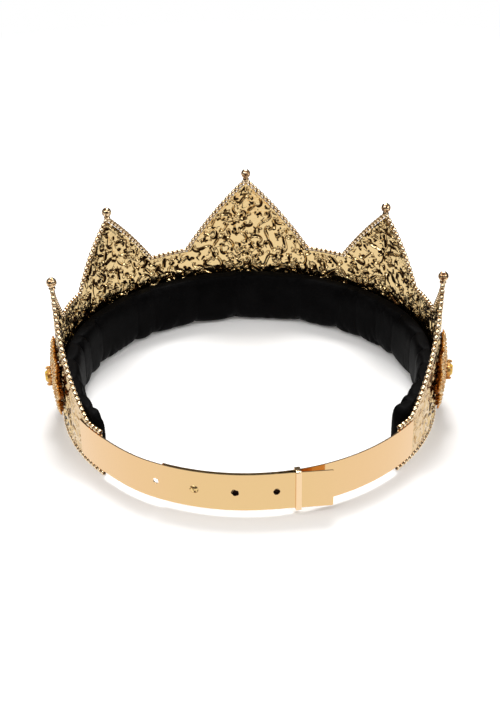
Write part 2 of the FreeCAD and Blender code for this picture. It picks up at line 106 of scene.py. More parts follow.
WALL_SECTORS = (
    ("wall_front_right", -75.0, -26.0, 0.36),
    ("wall_front", -26.0, 26.0, 0.36),
    ("wall_front_left", 26.0, 75.0, 0.36),
    ("wall_right", -WALL_END_ANGLE, -75.0, 0.4),
    ("wall_left", 75.0, WALL_END_ANGLE, 0.4),
)

# Bead wires
BEAD_RADIUS = 1.13
BEAD_PITCH = 2.6
BEAD_RINGS = 10
BEAD_SIDES = 12
BEAD_END_RADIUS = 0.05
CORE_RADIUS = 0.5

# Finials
FINIAL_SEAT_RISE = 2.3
FINIAL_NECK_HEIGHT = 0.85
FINIAL_BALL_RADIUS = 2.4
FINIAL_BALL_SINK = 0.25

# Medallions, settings and stones
MEDALLION_HEIGHT = 24.7
PLATE_BACK = 3.3
PLATE_THICKNESS = 1.2
PLATE_DOME_DROP = 2.1
PLATE_HUB_RADIUS = 8.2
LOBE_COUNT = 8
LOBE_CIRCLE_RADIUS = 12.2
LOBE_OUTER_RADIUS = 5.1
LOBE_INNER_RADIUS = 3.3
LEAF_TIP_RADIUS = 19.2
LEAF_HALF_WIDTH = 2.4
DOME_FALL = PLATE_DOME_DROP / LEAF_TIP_RADIUS ** 2
LOBE_MIDDLE_RADIUS = (LOBE_OUTER_RADIUS + LOBE_INNER_RADIUS) / 2
OUTLINE_RADIUS = 15.9
OUTLINE_WAVE = 1.5
HUB_BEADS = 24
LOBE_BEADS = 13
OUTLINE_BEADS = 72
BED_BALLS = 150
BED_EDGE_BALLS = 64
FILIGREE_UNSHADED_ABOVE = 0.8
FILIGREE_SHADE_DEPTH = 1.8
SETTING_RADIUS = 4.3
SETTING_HEIGHT = 1.8
SETTING_WALL = 0.7
SETTING_FLOOR = 0.4
SETTING_BEADS = 20
CLAW_COUNT = 4
STONE_RADIUS = 3.5
STONE_HEIGHT = 2.6
STONE_GIRDLE_RISE = 0.9
STONE_TABLE_RADIUS = 2.1

# Padded lining
LINING_OUTER = -1.3
LINING_INNER = -9.7
LINING_BOTTOM = 1.0
LINING_TOP = 27.5
LINING_MIDDLE = (LINING_OUTER + LINING_INNER) / 2
LINING_MIDDLE_Z = (LINING_BOTTOM + LINING_TOP) / 2
LINING_END_ANGLE = 129.0
LINING_THIN_FROM = 104.0
LINING_THIN_DEPTH = 2.2
GATHER_LIFT = 2.3

# Straps and keeper
STRAP_INNER_FACE = 90.45
STRAP_OUTER_FACE = 91.05
OVERLAP_OUTER_FACE = 92.15
STRAP_BOTTOM = 3.2
STRAP_MIDDLE = 12.7
HOLE_STEP_ANGLE = math.degrees(18.0 / OVERLAP_OUTER_FACE)
HOLE_RADIUS = 1.4
DISC_SIDES = 36
DISC_DEPTH = 0.1
BURR_SPOTS = 40
STRAP_WIDTH = 19.0
STUD_ANGLE = 164.6
KEEPER_ANGLE = 192.7
KEEPER_WIDTH = 2.5
KEEPER_THICKNESS = 0.6
KEEPER_CLEARANCE = 0.3


# Mesh helpers. A part is a pair: points as an N by 3 array, and faces as a list of tuples.

def grid_part(points, wrap_rows=False, wrap_columns=False):
    """A part from a grid of points, rows by columns by 3."""
    rows, columns = points.shape[:2]
    index = np.arange(rows * columns).reshape(rows, columns)
    if wrap_rows:
        index = np.vstack([index, index[:1]])
    if wrap_columns:
        index = np.hstack([index, index[:, :1]])
    corners = [index[:-1, :-1], index[:-1, 1:], index[1:, 1:], index[1:, :-1]]
    faces = np.stack([c.ravel() for c in corners], axis=1)
    return points.reshape(-1, 3), faces.tolist()


def turns_round(count):
    """Angles spaced evenly round a circle."""
    return np.linspace(0.0, TURN, count, endpoint=False)


def flat_ring(radius, turns, height):
    """Points at angles about Z. The radius is one number, or one for each angle."""
    return np.stack([radius * np.cos(turns), radius * np.sin(turns), np.full(len(turns), height)], 1)


def eased(share):
    """A share from 0 to 1 that starts and ends gently."""
    return share * share * (3.0 - 2.0 * share)


def joined(parts):
    points, faces, count = [], [], 0
    for part_points, part_faces in parts:
        points.append(part_points)
        faces += [[corner + count for corner in face] for face in part_faces]
        count += len(part_points)
    return np.vstack(points), faces


def lathe(profile, sides):
    """A part turned about Z from (radius, height) pairs that go upwards on the outside."""
    turns = turns_round(sides)
    rings = [flat_ring(radius, turns, height) for radius, height in profile]
    return grid_part(np.array(rings), wrap_columns=True)


def ball(radius, centre, sides, rings):
    lifts = np.linspace(-math.pi / 2, math.pi / 2, rings)
    points, faces = lathe([(radius * math.cos(v), radius * math.sin(v)) for v in lifts], sides)
    return points + np.array(centre), faces


def balls_round(radius, count, way, height, sides, rings, phase=0.0, middle=0.0):
    """Balls spaced round a circle. The way out from its middle is one number, or one for each ball."""
    turns = TURN * (np.arange(count) + phase) / count
    spots = flat_ring(way, turns, height) + (middle, 0.0, 0.0)
    return [ball(radius, spot, sides, rings) for spot in spots]


def path_axes(path, closed, up):
    """Side and up vectors square to a path at each of its points."""
    if closed:
        ahead = np.roll(path, -1, 0) - np.roll(path, 1, 0)
    else:
        ahead = np.gradient(path, axis=0)
    ahead /= np.linalg.norm(ahead, axis=1, keepdims=True)
    side = np.cross(ahead, np.array(up))
    side /= np.linalg.norm(side, axis=1, keepdims=True)
    return side, np.cross(side, ahead)


def tube(path, radii, sides, closed=False, up=(0.0, 0.0, 1.0), flatten=1.0):
    """A round tube along a path. An open tube narrows to nothing at its ends by its radii."""
    path = np.asarray(path, float)
    radii = np.broadcast_to(np.asarray(radii, float), len(path))
    side, lift = path_axes(path, closed, up)
    turns = turns_round(sides)
    across = side[:, None] * np.cos(turns)[None, :, None]
    upwards = lift[:, None] * (flatten * np.sin(turns))[None, :, None]
    points = path[:, None] + (across + upwards) * radii[:, None, None]
    return grid_part(points, wrap_rows=closed, wrap_columns=True)


def rounded_ends(count, radius, share):
    """Radii along an open tube that close at both ends."""
    where = np.linspace(0.0, 1.0, count)
    near = np.minimum(where, 1.0 - where) / share
    return radius * np.sqrt(np.clip(1.0 - (1.0 - np.clip(near, 0.0, 1.0)) ** 2, 0.0, 1.0))


def placed(name, data):
    """A new object in the scene that holds a mesh, a light or a camera."""
    made = bpy.data.objects.new(name, data)
    bpy.context.scene.collection.objects.link(made)
    return made


def make_piece(name, part, material, nodes=(), body="crown", values=None):
    """An object from a part, with a material, a body, CAD nodes to stand for and values at its points."""
    points, faces = part
    mesh = bpy.data.meshes.new(name)
    mesh.from_pydata((points * MM).tolist(), [], faces)
    for label, numbers in (values or {}).items():
        attribute = mesh.attributes.new(label, "FLOAT", "POINT")
        attribute.data.foreach_set("value", numbers.astype(np.float32))
    cleaned = bmesh.new()
    cleaned.from_mesh(mesh)
    bmesh.ops.remove_doubles(cleaned, verts=cleaned.verts, dist=WELD_DISTANCE * MM)
    bmesh.ops.dissolve_degenerate(cleaned, edges=cleaned.edges, dist=SHORTEST_EDGE * MM)
    bmesh.ops.recalc_face_normals(cleaned, faces=cleaned.faces)
    cleaned.to_mesh(mesh)
    cleaned.free()
    mesh.shade_smooth()
    mesh.materials.append(material)
    piece = placed(name, mesh)
    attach(piece, body)
    if nodes:
        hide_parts(*nodes)
    return piece


# Places on the wall

def depth_at(angles):
    return np.where(np.cos(np.radians(angles)) > 0, FRONT_HALF_DEPTH, HALF_WIDTH)


def plan(angles, offset, z):
    """Points on the wall's plan at angles, moved outwards by the offset, at heights z."""
    turn = np.radians(angles)
    x = (HALF_WIDTH + offset) * np.sin(turn)
    y = -(depth_at(angles) + offset) * np.cos(turn) + SHIFT_Y
    return np.stack(np.broadcast_arrays(x, y, z), axis=-1)


def wall_axes(angle, z, offset):
    """A matrix whose X runs along the wall, Y up and Z out of the wall."""
    turn = math.radians(angle)
    depth = float(depth_at(angle))
    along = np.array([HALF_WIDTH * math.cos(turn), depth * math.sin(turn), 0.0])
    along /= np.linalg.norm(along)
    out = np.array([along[1], -along[0], 0.0])
    foot = plan(angle, 0.0, z) + out * offset
    return np.array([along, (0.0, 0.0, 1.0), out]), foot


def on_wall(part, angle, z, offset):
    points, faces = part
    axes, foot = wall_axes(angle, z, offset)
    return points @ axes + foot, faces


ARC_ANGLES = np.linspace(-180.0, 180.0, 3601)
ARC_STEPS = np.linalg.norm(np.diff(plan(ARC_ANGLES, 0.0, 0.0), axis=0), axis=1)
ARC_LENGTHS = np.concatenate([[0.0], np.cumsum(ARC_STEPS)])
ARC_LENGTHS -= ARC_LENGTHS[len(ARC_LENGTHS) // 2]


def arc_at(angles):
    """Length along the wall's middle from the front."""
    return np.interp(angles, ARC_ANGLES, ARC_LENGTHS)


def angle_at(arcs):
    return np.interp(arcs, ARC_LENGTHS, ARC_ANGLES)


def lifted_slope(half_base, tip, foot, lift):
    """Foot distance and tip height of a slope moved out by the lift."""
    steepness = (tip - foot) / half_base
    rise = lift * math.hypot(1.0, steepness)
    return half_base + (rise - lift) / steepness, tip + rise


def slope_line(foot_distance, foot, tip, bulge):
    """Distances and heights along one slope, from its foot to the tip."""
    share = np.linspace(0.0, 1.0, 33)
    length = math.hypot(foot_distance, tip - foot)
    bow = 4.0 * bulge * share * (1.0 - share) / length
    distance = foot_distance * (1.0 - share) + (tip - foot) * bow
    return distance, foot + (tip - foot) * share + foot_distance * bow


def top_height(angles, lift=0.0):
    """Height of the sheet's top edge, moved out by a lift."""
    angles = np.asarray(angles, float)
    top = np.where(np.abs(angles) < SIDE_POINT_ANGLE, VALLEY_HEIGHT, REAR_HEIGHT) + lift
    for name, (middle, tip, half_base) in POINTS.items():
        axes, foot = wall_axes(middle, 0.0, 0.0)
        away = (plan(angles, 0.0, 0.0) - foot) @ axes[0]
        facing = (plan(angles, 0.0, 0.0) - plan(0.0, -HALF_WIDTH, 0.0)) @ axes[2] > 0
        rearward = math.copysign(1.0, middle)
        near, high = lifted_slope(half_base, tip, VALLEY_HEIGHT, lift)
        sides = [(-rearward, near, VALLEY_HEIGHT + lift, SLOPE_BULGE)]
        if name.startswith("side"):
            far = lifted_slope(REAR_SLOPE_LENGTH, tip, REAR_HEIGHT, lift)[0]
            sides.append((rearward, far, REAR_HEIGHT + lift, -REAR_SLOPE_SAG))
        else:
            sides.append((rearward, near, VALLEY_HEIGHT + lift, SLOPE_BULGE))
        for side, reach, low, bulge in sides:
            distance, height = slope_line(reach, low, high, bulge)
            found = np.interp(-side * away, -distance, height, left=0.0, right=0.0)
            top = np.where(facing & (side * away >= -1e-6), np.maximum(top, found), top)
    return top


# Embossed scrolls on a raster of the unrolled wall, read back by the meshes.
# The height raster holds flat-topped ridges. A second raster holds the narrow folds beside them: they sink
# the sheet a little, and the materials paint them dark as painted shade.

class Relief:
    def __init__(self):
        self.random = np.random.default_rng(SEED)
        self.reach = float(arc_at(WALL_END_ANGLE)) + 2.0
        self.columns = int(2 * self.reach / RASTER_STEP)
        self.rows = int(RASTER_TOP / RASTER_STEP)
        self.height = np.zeros((self.rows, self.columns), np.float32)
        self.shaded_hollow = np.zeros((self.rows, self.columns), np.float32)
        self.spots = np.zeros((0, 3))
        self.fill()

    def stroke(self, raster, spots, widths, level, power):
        """Raise a ridge along spots: round-topped with a power of 2, flat-topped with more."""
        widths = np.broadcast_to(np.asarray(widths, float), len(spots))
        margin = 1.7 * float(widths.max())
        origin = np.array((-self.reach, 0.0))
        low = np.maximum(np.floor((spots.min(0) - margin - origin) / RASTER_STEP).astype(int), 0)
        high = np.ceil((spots.max(0) + margin - origin) / RASTER_STEP).astype(int)
        high = np.minimum(high, (self.columns, self.rows))
        if (high <= low).any():
            return
        s = -self.reach + np.arange(low[0], high[0]) * RASTER_STEP
        z = np.arange(low[1], high[1]) * RASTER_STEP
        away = np.sqrt((s[None, :, None] - spots[:, 0]) ** 2 + (z[:, None, None] - spots[:, 1]) ** 2)
        ridge = (level * np.exp(-(away / widths) ** power)).max(axis=2)
        window = raster[low[1]:high[1], low[0]:high[0]]
        np.maximum(window, ridge, out=window)

    def curve(self, centre, length, headings):
        """A curve through headings along its length, centred on a place."""
        step = length / len(headings)
        spots = np.cumsum(np.stack([np.cos(headings), np.sin(headings)], 1) * step, axis=0)
        return spots - spots.mean(0) + centre

    def scroll(self, centre, size):
        """An S or a C scroll with hooked ends, with a fold along a part of one side that is painted dark as
        shade.
        """
        pick = self.random.uniform
        along = np.linspace(-1.0, 1.0, SCROLL_SPOTS)
        turn = pick(0.0, TURN)
        hand = self.random.choice([-1.0, 1.0])
        hook = pick(*SCROLL_HOOK)
        if pick() < SCROLL_C_SHARE:
            headings = turn + hand * hook * np.abs(along) ** 3
        else:
            headings = turn + hand * (0.75 * hook * along ** 3 + pick(*SCROLL_BEND) * along)
        spots = self.curve(centre, size * pick(*SCROLL_LENGTH), headings)
        width = pick(*SCROLL_WIDTH) * (1.0 - 0.25 * np.abs(along))
        self.stroke(self.height, spots, width, 1.0, FLAT_TOPPED)
        side = hand * self.random.choice([-1.0, 1.0])
        normal = np.stack([-np.sin(headings), np.cos(headings)], 1)
        first = int(pick(0, 18))
        last = first + int(pick(12, 30))
        fold = (spots + side * normal * (width + FOLD_GAP)[:, None])[first:last]
        taper = np.sin(np.linspace(0.15, math.pi - 0.15, len(fold))) ** 0.5
        self.stroke(self.shaded_hollow, fold, pick(*FOLD_WIDTH) * taper, pick(*FOLD_LEVEL), 3)

    def comma(self, centre, size):
        pick = self.random.uniform
        along = np.linspace(0.0, 1.0, COMMA_SPOTS)
        headings = pick(0.0, TURN) + pick(*COMMA_TURN) * along
        spots = self.curve(centre, size * pick(*COMMA_LENGTH), headings)
        if pick() < 0.6:
            width = pick(0.4, 0.6) * (1.0 - 0.6 * along)
            self.stroke(self.height, spots, width, pick(0.6, 1.0), FLAT_TOPPED)
        if pick() < (0.62 if abs(centre[0]) < DENSE_FROM else 0.95):
            shifted = spots + pick(-0.5, 0.5, 2)
            width = pick(0.4, 0.75) * (1.0 - 0.6 * along)
            self.stroke(self.shaded_hollow, shifted, width, pick(*FOLD_LEVEL), 3)

    def flower(self, centre, size):
        """A ring of small petals round a bud."""
        count = int(self.random.integers(5, 9))
        phase = self.random.uniform(0.0, math.pi)
        for number in range(count):
            angle = phase + TURN * number / count
            way = np.array([math.cos(angle), math.sin(angle)])
            petal = centre + way * np.linspace(0.45, 0.85, 4)[:, None] * size
            self.stroke(self.height, petal, [0.3, 0.42, 0.46, 0.3], 0.9, FLAT_TOPPED)
            if self.random.uniform() < 0.6:
                edge = centre + way * size * 1.08
                self.stroke(self.shaded_hollow, edge[None, :], 0.46, self.random.uniform(0.6, 1.4), 2)
        self.stroke(self.height, centre[None, :], 0.55, 1.0, FLAT_TOPPED)

    def scatter(self, tries, size_low, size_high, room, draw):
        """Draw motifs where earlier ones leave room for them."""
        for _ in range(tries):
            s = self.random.uniform(-self.reach, self.reach)
            z = self.random.uniform(0.0, RASTER_TOP)
            size = self.random.uniform(size_low, size_high)
            if z > float(np.interp(s, self.edge_arcs, self.edge_tops)) + 1.0:
                continue
            away = np.hypot(self.spots[:, 0] - s, self.spots[:, 1] - z)
            if (away < room * (size + self.spots[:, 2])).any():
                continue
            self.spots = np.vstack([self.spots, (s, z, size)])
            draw(np.array([s, z]), size)

    def fill(self):
        angles = np.linspace(-WALL_END_ANGLE, WALL_END_ANGLE, 1200)
        self.edge_arcs = arc_at(angles)
        self.edge_tops = top_height(angles)
        self.scatter(700, 3.4, 4.6, 0.74, self.scroll)
        self.scatter(900, 1.8, 2.3, 0.85, self.flower)
        self.scatter(2600, 1.9, 3.0, 0.66, self.scroll)
        self.scatter(6000, 0.9, 1.3, 0.62, self.comma)

    def read(self, raster, arcs, z):
        column = np.clip((arcs + self.reach) / RASTER_STEP, 0, self.columns - 2)
        row = np.clip(z / RASTER_STEP, 0, self.rows - 2)
        left, low = column.astype(int), row.astype(int)
        across, up = column - left, row - low
        lower = raster[low, left] * (1 - across) + raster[low, left + 1] * across
        upper = raster[low + 1, left] * (1 - across) + raster[low + 1, left + 1] * across
        return lower * (1 - up) + upper * up


# The wall: a closed sheet whose embossing shows on both faces

def wall_sheet(relief, start, end, pitch):
    arcs = np.linspace(arc_at(start), arc_at(end), int((arc_at(end) - arc_at(start)) / pitch) + 1)
    angles = angle_at(arcs)
    tops = top_height(angles)
    counts = np.ceil((tops - WIRE_HEIGHT) / pitch - 0.35).astype(int)
    firsts = np.concatenate([[0], np.cumsum(counts + 1)])
    column = np.repeat(np.arange(len(arcs)), counts + 1)
    row = np.arange(firsts[-1]) - firsts[column]
    z = np.where(row == counts[column], tops[column], WIRE_HEIGHT + row * pitch)
    margin = np.minimum(z - WIRE_HEIGHT, (tops[column] - z) * 0.65)
    fade = np.clip(margin / RELIEF_FADE, 0.0, 1.0)
    calm = (np.abs(angles[column]) - RELIEF_CALM_FROM) / (RELIEF_CALM_TO - RELIEF_CALM_FROM)
    calm = np.clip(calm, 0.0, 1.0)
    fade = eased(fade) * (1.0 - (1.0 - RELIEF_CALM_SHARE) * calm)
    height = relief.read(relief.height, arcs[column], z)
    # The folds, faded near the edges, sink the sheet a little and are kept at each point as painted shade.
    shaded_hollow = np.clip(relief.read(relief.shaded_hollow, arcs[column], z), 0.0, 1.0) * fade
    bump = (height * (RELIEF_RISE + RELIEF_SINK) - RELIEF_SINK - 0.25 * shaded_hollow) * fade
    layers = [plan(angles[column], bump + side * WALL_HALF, z) for side in (-1.0, 1.0)]
    total = len(z)
    faces = []

    def add(corners):
        kept = [c for n, c in enumerate(corners) if c != corners[n - 1]]
        if len(kept) > 2:
            faces.append(kept)

    for left in range(len(arcs) - 1):
        right = left + 1
        for level in range(max(counts[left], counts[right])):
            low_left = firsts[left] + min(level, counts[left])
            high_left = firsts[left] + min(level + 1, counts[left])
            low_right = firsts[right] + min(level, counts[right])
            high_right = firsts[right] + min(level + 1, counts[right])
            add([low_left, high_left, high_right, low_right])
            add([low_left + total, low_right + total, high_right + total, high_left + total])
        for rim, reverse in ((0, False), (1, True)):
            a = firsts[left] + rim * counts[left]
            b = firsts[right] + rim * counts[right]
            quad = [a, b, b + total, a + total]
            faces.append(quad[::-1] if reverse else quad)
    for column_end in (0, len(arcs) - 1):
        for level in range(counts[column_end]):
            a = firsts[column_end] + level
            faces.append([a, a + 1, a + 1 + total, a + total])
    points = np.vstack(layers)
    values = {"shaded_hollow": np.tile(shaded_hollow, 2), "calm": np.tile(calm, 2)}
    return (points, [[int(c) for c in face] for face in faces]), values


def crown_wall(material):
    relief = Relief()
    for name, start, end, pitch in WALL_SECTORS:
        part, values = wall_sheet(relief, start, end, pitch)
        piece = make_piece(name, part, material, ["crown_wall"], values=values)
        piece.data.set_sharp_from_angle(angle=math.radians(WALL_SHARP_ANGLE))


# Bead wires and finials

def along_path(path, pitch):
    """Points spaced evenly along a path, about a pitch apart, with both of its ends."""
    steps = np.linalg.norm(np.diff(path, axis=0), axis=1)
    lengths = np.concatenate([[0.0], np.cumsum(steps)])
    count = max(int(round(lengths[-1] / pitch)), 1)
    wanted = np.linspace(0.0, lengths[-1], count + 1)
    return np.stack([np.interp(wanted, lengths, path[:, axis]) for axis in range(3)], axis=1)


def bead_chain(path):
    """A milled wire along a path: a tube that swells into beads, and how deep each ring lies, which the bead
    material paints as shade between the beads.
    """
    steps = np.linalg.norm(np.diff(path, axis=0), axis=1)
    beads = max(int(round(steps.sum() / BEAD_PITCH)), 1)
    fine = along_path(path, steps.sum() / (beads * BEAD_RINGS))
    where = np.abs(2.0 * ((np.arange(len(fine)) / BEAD_RINGS) % 1.0) - 1.0)
    swell = np.clip(1.0 - where ** 2.4, 0.0, 1.0) ** 0.5
    radii = CORE_RADIUS + (BEAD_RADIUS - CORE_RADIUS) * swell
    radii[[0, -1]] = BEAD_END_RADIUS
    return tube(fine, radii, BEAD_SIDES), np.repeat(1.0 - swell, BEAD_SIDES)


def bead_piece(name, paths, material, node):
    chains = [bead_chain(path) for path in paths]
    part = joined([chain for chain, depth in chains])
    depths = np.concatenate([depth for chain, depth in chains])
    make_piece(name, part, material, [node], values={"shaded_hollow": depths})


def top_beads(material):
    stops = sorted([-WALL_END_ANGLE, WALL_END_ANGLE] + [point[0] for point in POINTS.values()])
    paths = []
    for low, high in zip(stops, stops[1:]):
        angles = np.linspace(low, high, 400)
        paths.append(plan(angles, 0.0, top_height(angles, WIRE_HEIGHT / 2)))
    bead_piece("top_beads", paths, material, "top_bead_wire")


def bottom_beads(material):
    angles = np.linspace(-WALL_END_ANGLE, WALL_END_ANGLE, 600)
    bead_piece("bottom_beads", [plan(angles, 0.0, BEAD_RADIUS)], material, "bottom_bead_wire")


def finial(name, material):
    angle, tip = POINTS[name][:2]
    neck_top = FINIAL_NECK_HEIGHT - FINIAL_BALL_SINK
    centre = neck_top + FINIAL_BALL_RADIUS
    profile = [(0.0, -0.5), (1.35, -0.5), (1.65, -0.1), (1.6, 0.3), (1.2, 0.6), (1.2, neck_top + 0.3)]
    points, faces = joined([lathe(profile, 20), ball(FINIAL_BALL_RADIUS, (0.0, 0.0, centre), 24, 17)])
    seat = plan(angle, 0.0, tip + FINIAL_SEAT_RISE)
    make_piece(name + "_finial_ball", (points + seat, faces), material, [name + "_finial"])


# Medallions, settings and stones, drawn flat with Z out of the wall

def turned_part(part, degrees):
    turn = math.radians(degrees)
    matrix = np.array([[math.cos(turn), math.sin(turn), 0], [-math.sin(turn), math.cos(turn), 0], [0, 0, 1]])
    return part[0] @ matrix, part[1]


def ring_path(radius, centre, count=36):
    return flat_ring(radius, turns_round(count), 0.0) + np.array(centre)


def domed(part):
    """Bend a flat part over the medallion's dome."""
    points, faces = part
    radius = (LEAF_TIP_RADIUS ** 2 + PLATE_DOME_DROP ** 2) / (2 * PLATE_DOME_DROP)
    bent = points.copy()
    bent[:, 2] -= radius - np.sqrt(radius ** 2 - (points[:, :2] ** 2).sum(axis=1))
    return bent, faces


def repeated(parts):
    return [turned_part(part, number * 360.0 / LOBE_COUNT) for number in range(LOBE_COUNT) for part in parts]


def medallion_core():
    """The filigree, painted brown as shade in its depths: a thick hub, ringed lobes, and a bed of coiled
    wire behind them.
    """
    random = np.random.default_rng(SEED + 2)
    top = PLATE_THICKNESS
    hub = PLATE_HUB_RADIUS
    foot = DOME_FALL * hub ** 2 - PLATE_DOME_DROP
    profile = [
        (0.0, foot), (hub - 0.3, foot), (hub, foot + 0.3), (hub, 0.7), (hub - 0.5, 1.05),
        (hub - 1.2, top), (hub - 2.4, top - 0.25), (hub - 3.2, top), (0.0, top),
    ]
    parts = [lathe(profile, 48)]
    wire = (LOBE_OUTER_RADIUS - LOBE_INNER_RADIUS) / 2
    lobe = [tube(ring_path(LOBE_MIDDLE_RADIUS, (LOBE_CIRCLE_RADIUS, 0, 0.3)), wire, 12, True, flatten=0.8)]
    lobe.append(tube(ring_path(1.6, (LOBE_CIRCLE_RADIUS, 0, 0.4), 20), 0.55, 8, True))
    lobe.append(ball(0.95, (LOBE_CIRCLE_RADIUS, 0, 0.5), 12, 9))
    for degrees in (60, 180, 300):
        turn = math.radians(degrees)
        ways = np.linspace(1.4, LOBE_INNER_RADIUS + 0.3, 5)
        spoke = np.outer(ways, (math.cos(turn), math.sin(turn), 0.0)) + (LOBE_CIRCLE_RADIUS, 0.0, 0.4)
        lobe.append(tube(spoke, 0.45, 8))
    lobe.append(leaf_part())
    lobe.append(turned_part(ball(1.0, (LOBE_CIRCLE_RADIUS + 3.0, 0, 0.4), 12, 9), 180.0 / LOBE_COUNT))
    parts += repeated(lobe)
    bed = []
    for _ in range(BED_BALLS):
        bed.append((random.uniform(7.0, 14.5), random.uniform(0.0, TURN), random.uniform(0.0, 1.0)))
    for layer in (0.05, 0.35, 0.65, 0.95):
        for turn in turns_round(BED_EDGE_BALLS):
            way = 15.3 + OUTLINE_WAVE * math.cos(LOBE_COUNT * turn) + random.uniform(-0.5, 0.5)
            bed.append((way, turn + random.uniform(-0.04, 0.04), layer))
    for way, turn, share in bed:
        size = random.uniform(0.7, 1.05)
        x, y = way * math.cos(turn), way * math.sin(turn)
        low = size - PLATE_DOME_DROP + DOME_FALL * y ** 2
        height = low + (0.5 - low) * share
        parts.append(ball(size, (x, y, height), 7, 5))
    flat = joined(parts)
    # Depth below the top, which the filigree material paints as brown shade.
    depth = np.clip((FILIGREE_UNSHADED_ABOVE - flat[0][:, 2]) / FILIGREE_SHADE_DEPTH, 0.0, 1.0)
    return domed(flat), depth


def medallion_rim():
    """The pale beads round the hub, on the rings and along the outline."""
    parts = balls_round(0.62, HUB_BEADS, PLATE_HUB_RADIUS - 2.0, PLATE_THICKNESS - 0.1, 10, 7)
    parts += repeated(balls_round(0.66, LOBE_BEADS, LOBE_MIDDLE_RADIUS, 1.0, 8, 5, 0.5, LOBE_CIRCLE_RADIUS))
    outline = OUTLINE_RADIUS + OUTLINE_WAVE * np.cos(LOBE_COUNT * turns_round(OUTLINE_BEADS))
    parts += balls_round(0.68, OUTLINE_BEADS, outline, 0.75, 8, 5)
    return domed(joined(parts))


def leaf_part():
    """A pointed leaf with a raised rib, closed below."""
    start = LOBE_CIRCLE_RADIUS + LOBE_MIDDLE_RADIUS - 0.3
    along = np.linspace(0.0, 1.0, 13)
    across = np.linspace(-1.0, 1.0, 9)
    width = LEAF_HALF_WIDTH * np.sqrt(np.clip(1.0 - along ** 1.6, 0.0, 1.0))
    x = start + (LEAF_TIP_RADIUS - start) * along
    y = width[:, None] * across[None, :]
    rib = (1.0 - np.abs(across)) ** 1.5
    groove = 0.1 * np.sin(along * 26.0)[:, None] * (np.abs(across) > 0.2)[None, :]
    z = 0.55 + (0.9 * rib[None, :] + groove) * (1.0 - 0.5 * along[:, None])
    upper = np.stack([np.broadcast_to(x[:, None], y.shape), y, z], axis=2)
    lower = upper.copy()
    lower[:, :, 2] = 0.15
    sheet = np.concatenate([upper, lower[:, ::-1]], axis=1)
    points, faces = grid_part(sheet, wrap_columns=True)
    count = sheet.shape[1]
    faces.append(list(range(count)))
    return points, faces


def setting_parts():
    radius, wall = SETTING_RADIUS, SETTING_WALL
    profile = [
        (0.0, 0.0), (radius - 0.4, 0.0), (radius - 0.1, 0.25), (radius - 0.35, 0.6),
        (radius, SETTING_HEIGHT - 0.2), (radius - 0.15, SETTING_HEIGHT),
        (radius - wall + 0.15, SETTING_HEIGHT), (radius - wall, SETTING_HEIGHT - 0.2),
        (radius - wall, SETTING_FLOOR), (0.0, SETTING_FLOOR),
    ]
    parts = [lathe(profile, 40)] + balls_round(0.34, SETTING_BEADS, radius, 0.55, 8, 6, 0.5)
    reach = np.array([0.0, 0.05, 0.05, -0.1, -0.5, -0.9])
    rise = np.array([0.1, 0.8, 1.4, 1.9, 2.2, 2.3])
    claw = np.stack([radius + reach, np.zeros(len(rise)), rise], 1)
    fine = along_path(claw, 0.25)
    parts_of_claw = tube(fine, rounded_ends(len(fine), 0.48, 0.15), 10, up=(0.0, 1.0, 0.0))
    for number in range(CLAW_COUNT):
        parts.append(turned_part(parts_of_claw, number * 360.0 / CLAW_COUNT + 45.0))
    return joined(parts)


def stone_piece(name, angle, material):
    """A faceted stone, as the hull of rings of corners."""
    levels = (
        (1.7, 0.0, 8, 0.5),
        (STONE_RADIUS, STONE_GIRDLE_RISE, 16, 0.0),
        (STONE_RADIUS, STONE_GIRDLE_RISE + 0.15, 16, 0.0),
        (3.05, 1.75, 8, 0.0),
        (STONE_TABLE_RADIUS, STONE_HEIGHT, 8, 0.5),
    )
    cut = bmesh.new()
    axes, foot = wall_axes(angle, MEDALLION_HEIGHT, PLATE_BACK + PLATE_THICKNESS + SETTING_FLOOR)
    for radius, height, count, phase in levels:
        for number in range(count):
            turn = TURN * (number + phase) / count
            flat = np.array([radius * math.cos(turn), radius * math.sin(turn), height])
            cut.verts.new((flat @ axes + foot) * MM)
    bmesh.ops.convex_hull(cut, input=cut.verts)
    bmesh.ops.dissolve_limit(cut, angle_limit=math.radians(1), verts=cut.verts, edges=cut.edges)
    bmesh.ops.recalc_face_normals(cut, faces=cut.faces)
    mesh = bpy.data.meshes.new(name)
    cut.to_mesh(mesh)
    cut.free()
    mesh.shade_flat()
    mesh.materials.append(material)
    piece = placed(name, mesh)
    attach(piece, "crown")
    return piece


def medallions(filigree, pale, glass):
    core, depth = medallion_core()
    rim = medallion_rim()
    cup = setting_parts()
    layers = (
        ("_filigree", core, PLATE_BACK, filigree, "_medallion", {"shaded_hollow": depth}),
        ("_rim_beads", rim, PLATE_BACK, pale, "_medallion", {}),
        ("_claws", cup, PLATE_BACK + PLATE_THICKNESS, filigree, "_setting", {}),
    )
    for name, point in POINTS.items():
        angle = point[0]
        for ending, part, offset, material, node, values in layers:
            here = on_wall(part, angle, MEDALLION_HEIGHT, offset)
            make_piece(name + ending, here, material, [name + node], values=values)
        gem = stone_piece(name + "_gem", angle, glass)
        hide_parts(name + "_stone")


# The lining: a gathered satin tube with a soft filling

# Angles of the deep gathers, as the photograph shows them, and of the hidden ones
GATHERS = (
    -124, -117, -108, -99, -90, -80, -64, -54, -44, -36, -19, 3,
    19, 37, 45, 66, 76, 84, 95, 104, 113, 121, 126,
)
LINING_COLUMNS = 600
LINING_ROWS = 72
SMALL_GATHERS = 170


def lining_section(around):
    """Offset and height of the tube's section at an angle round it, flat at the wall and full inside."""
    half_depth = (LINING_OUTER - LINING_INNER) / 2
    half_height = (LINING_TOP - LINING_BOTTOM) / 2
    c, s = np.cos(around), np.sin(around)
    power = np.where(c > 0, 0.3, 0.5)
    offset = LINING_MIDDLE + half_depth * np.sign(c) * np.abs(c) ** power
    z = LINING_MIDDLE_Z + half_height * np.sign(s) * np.abs(s) ** 0.5
    return offset, z


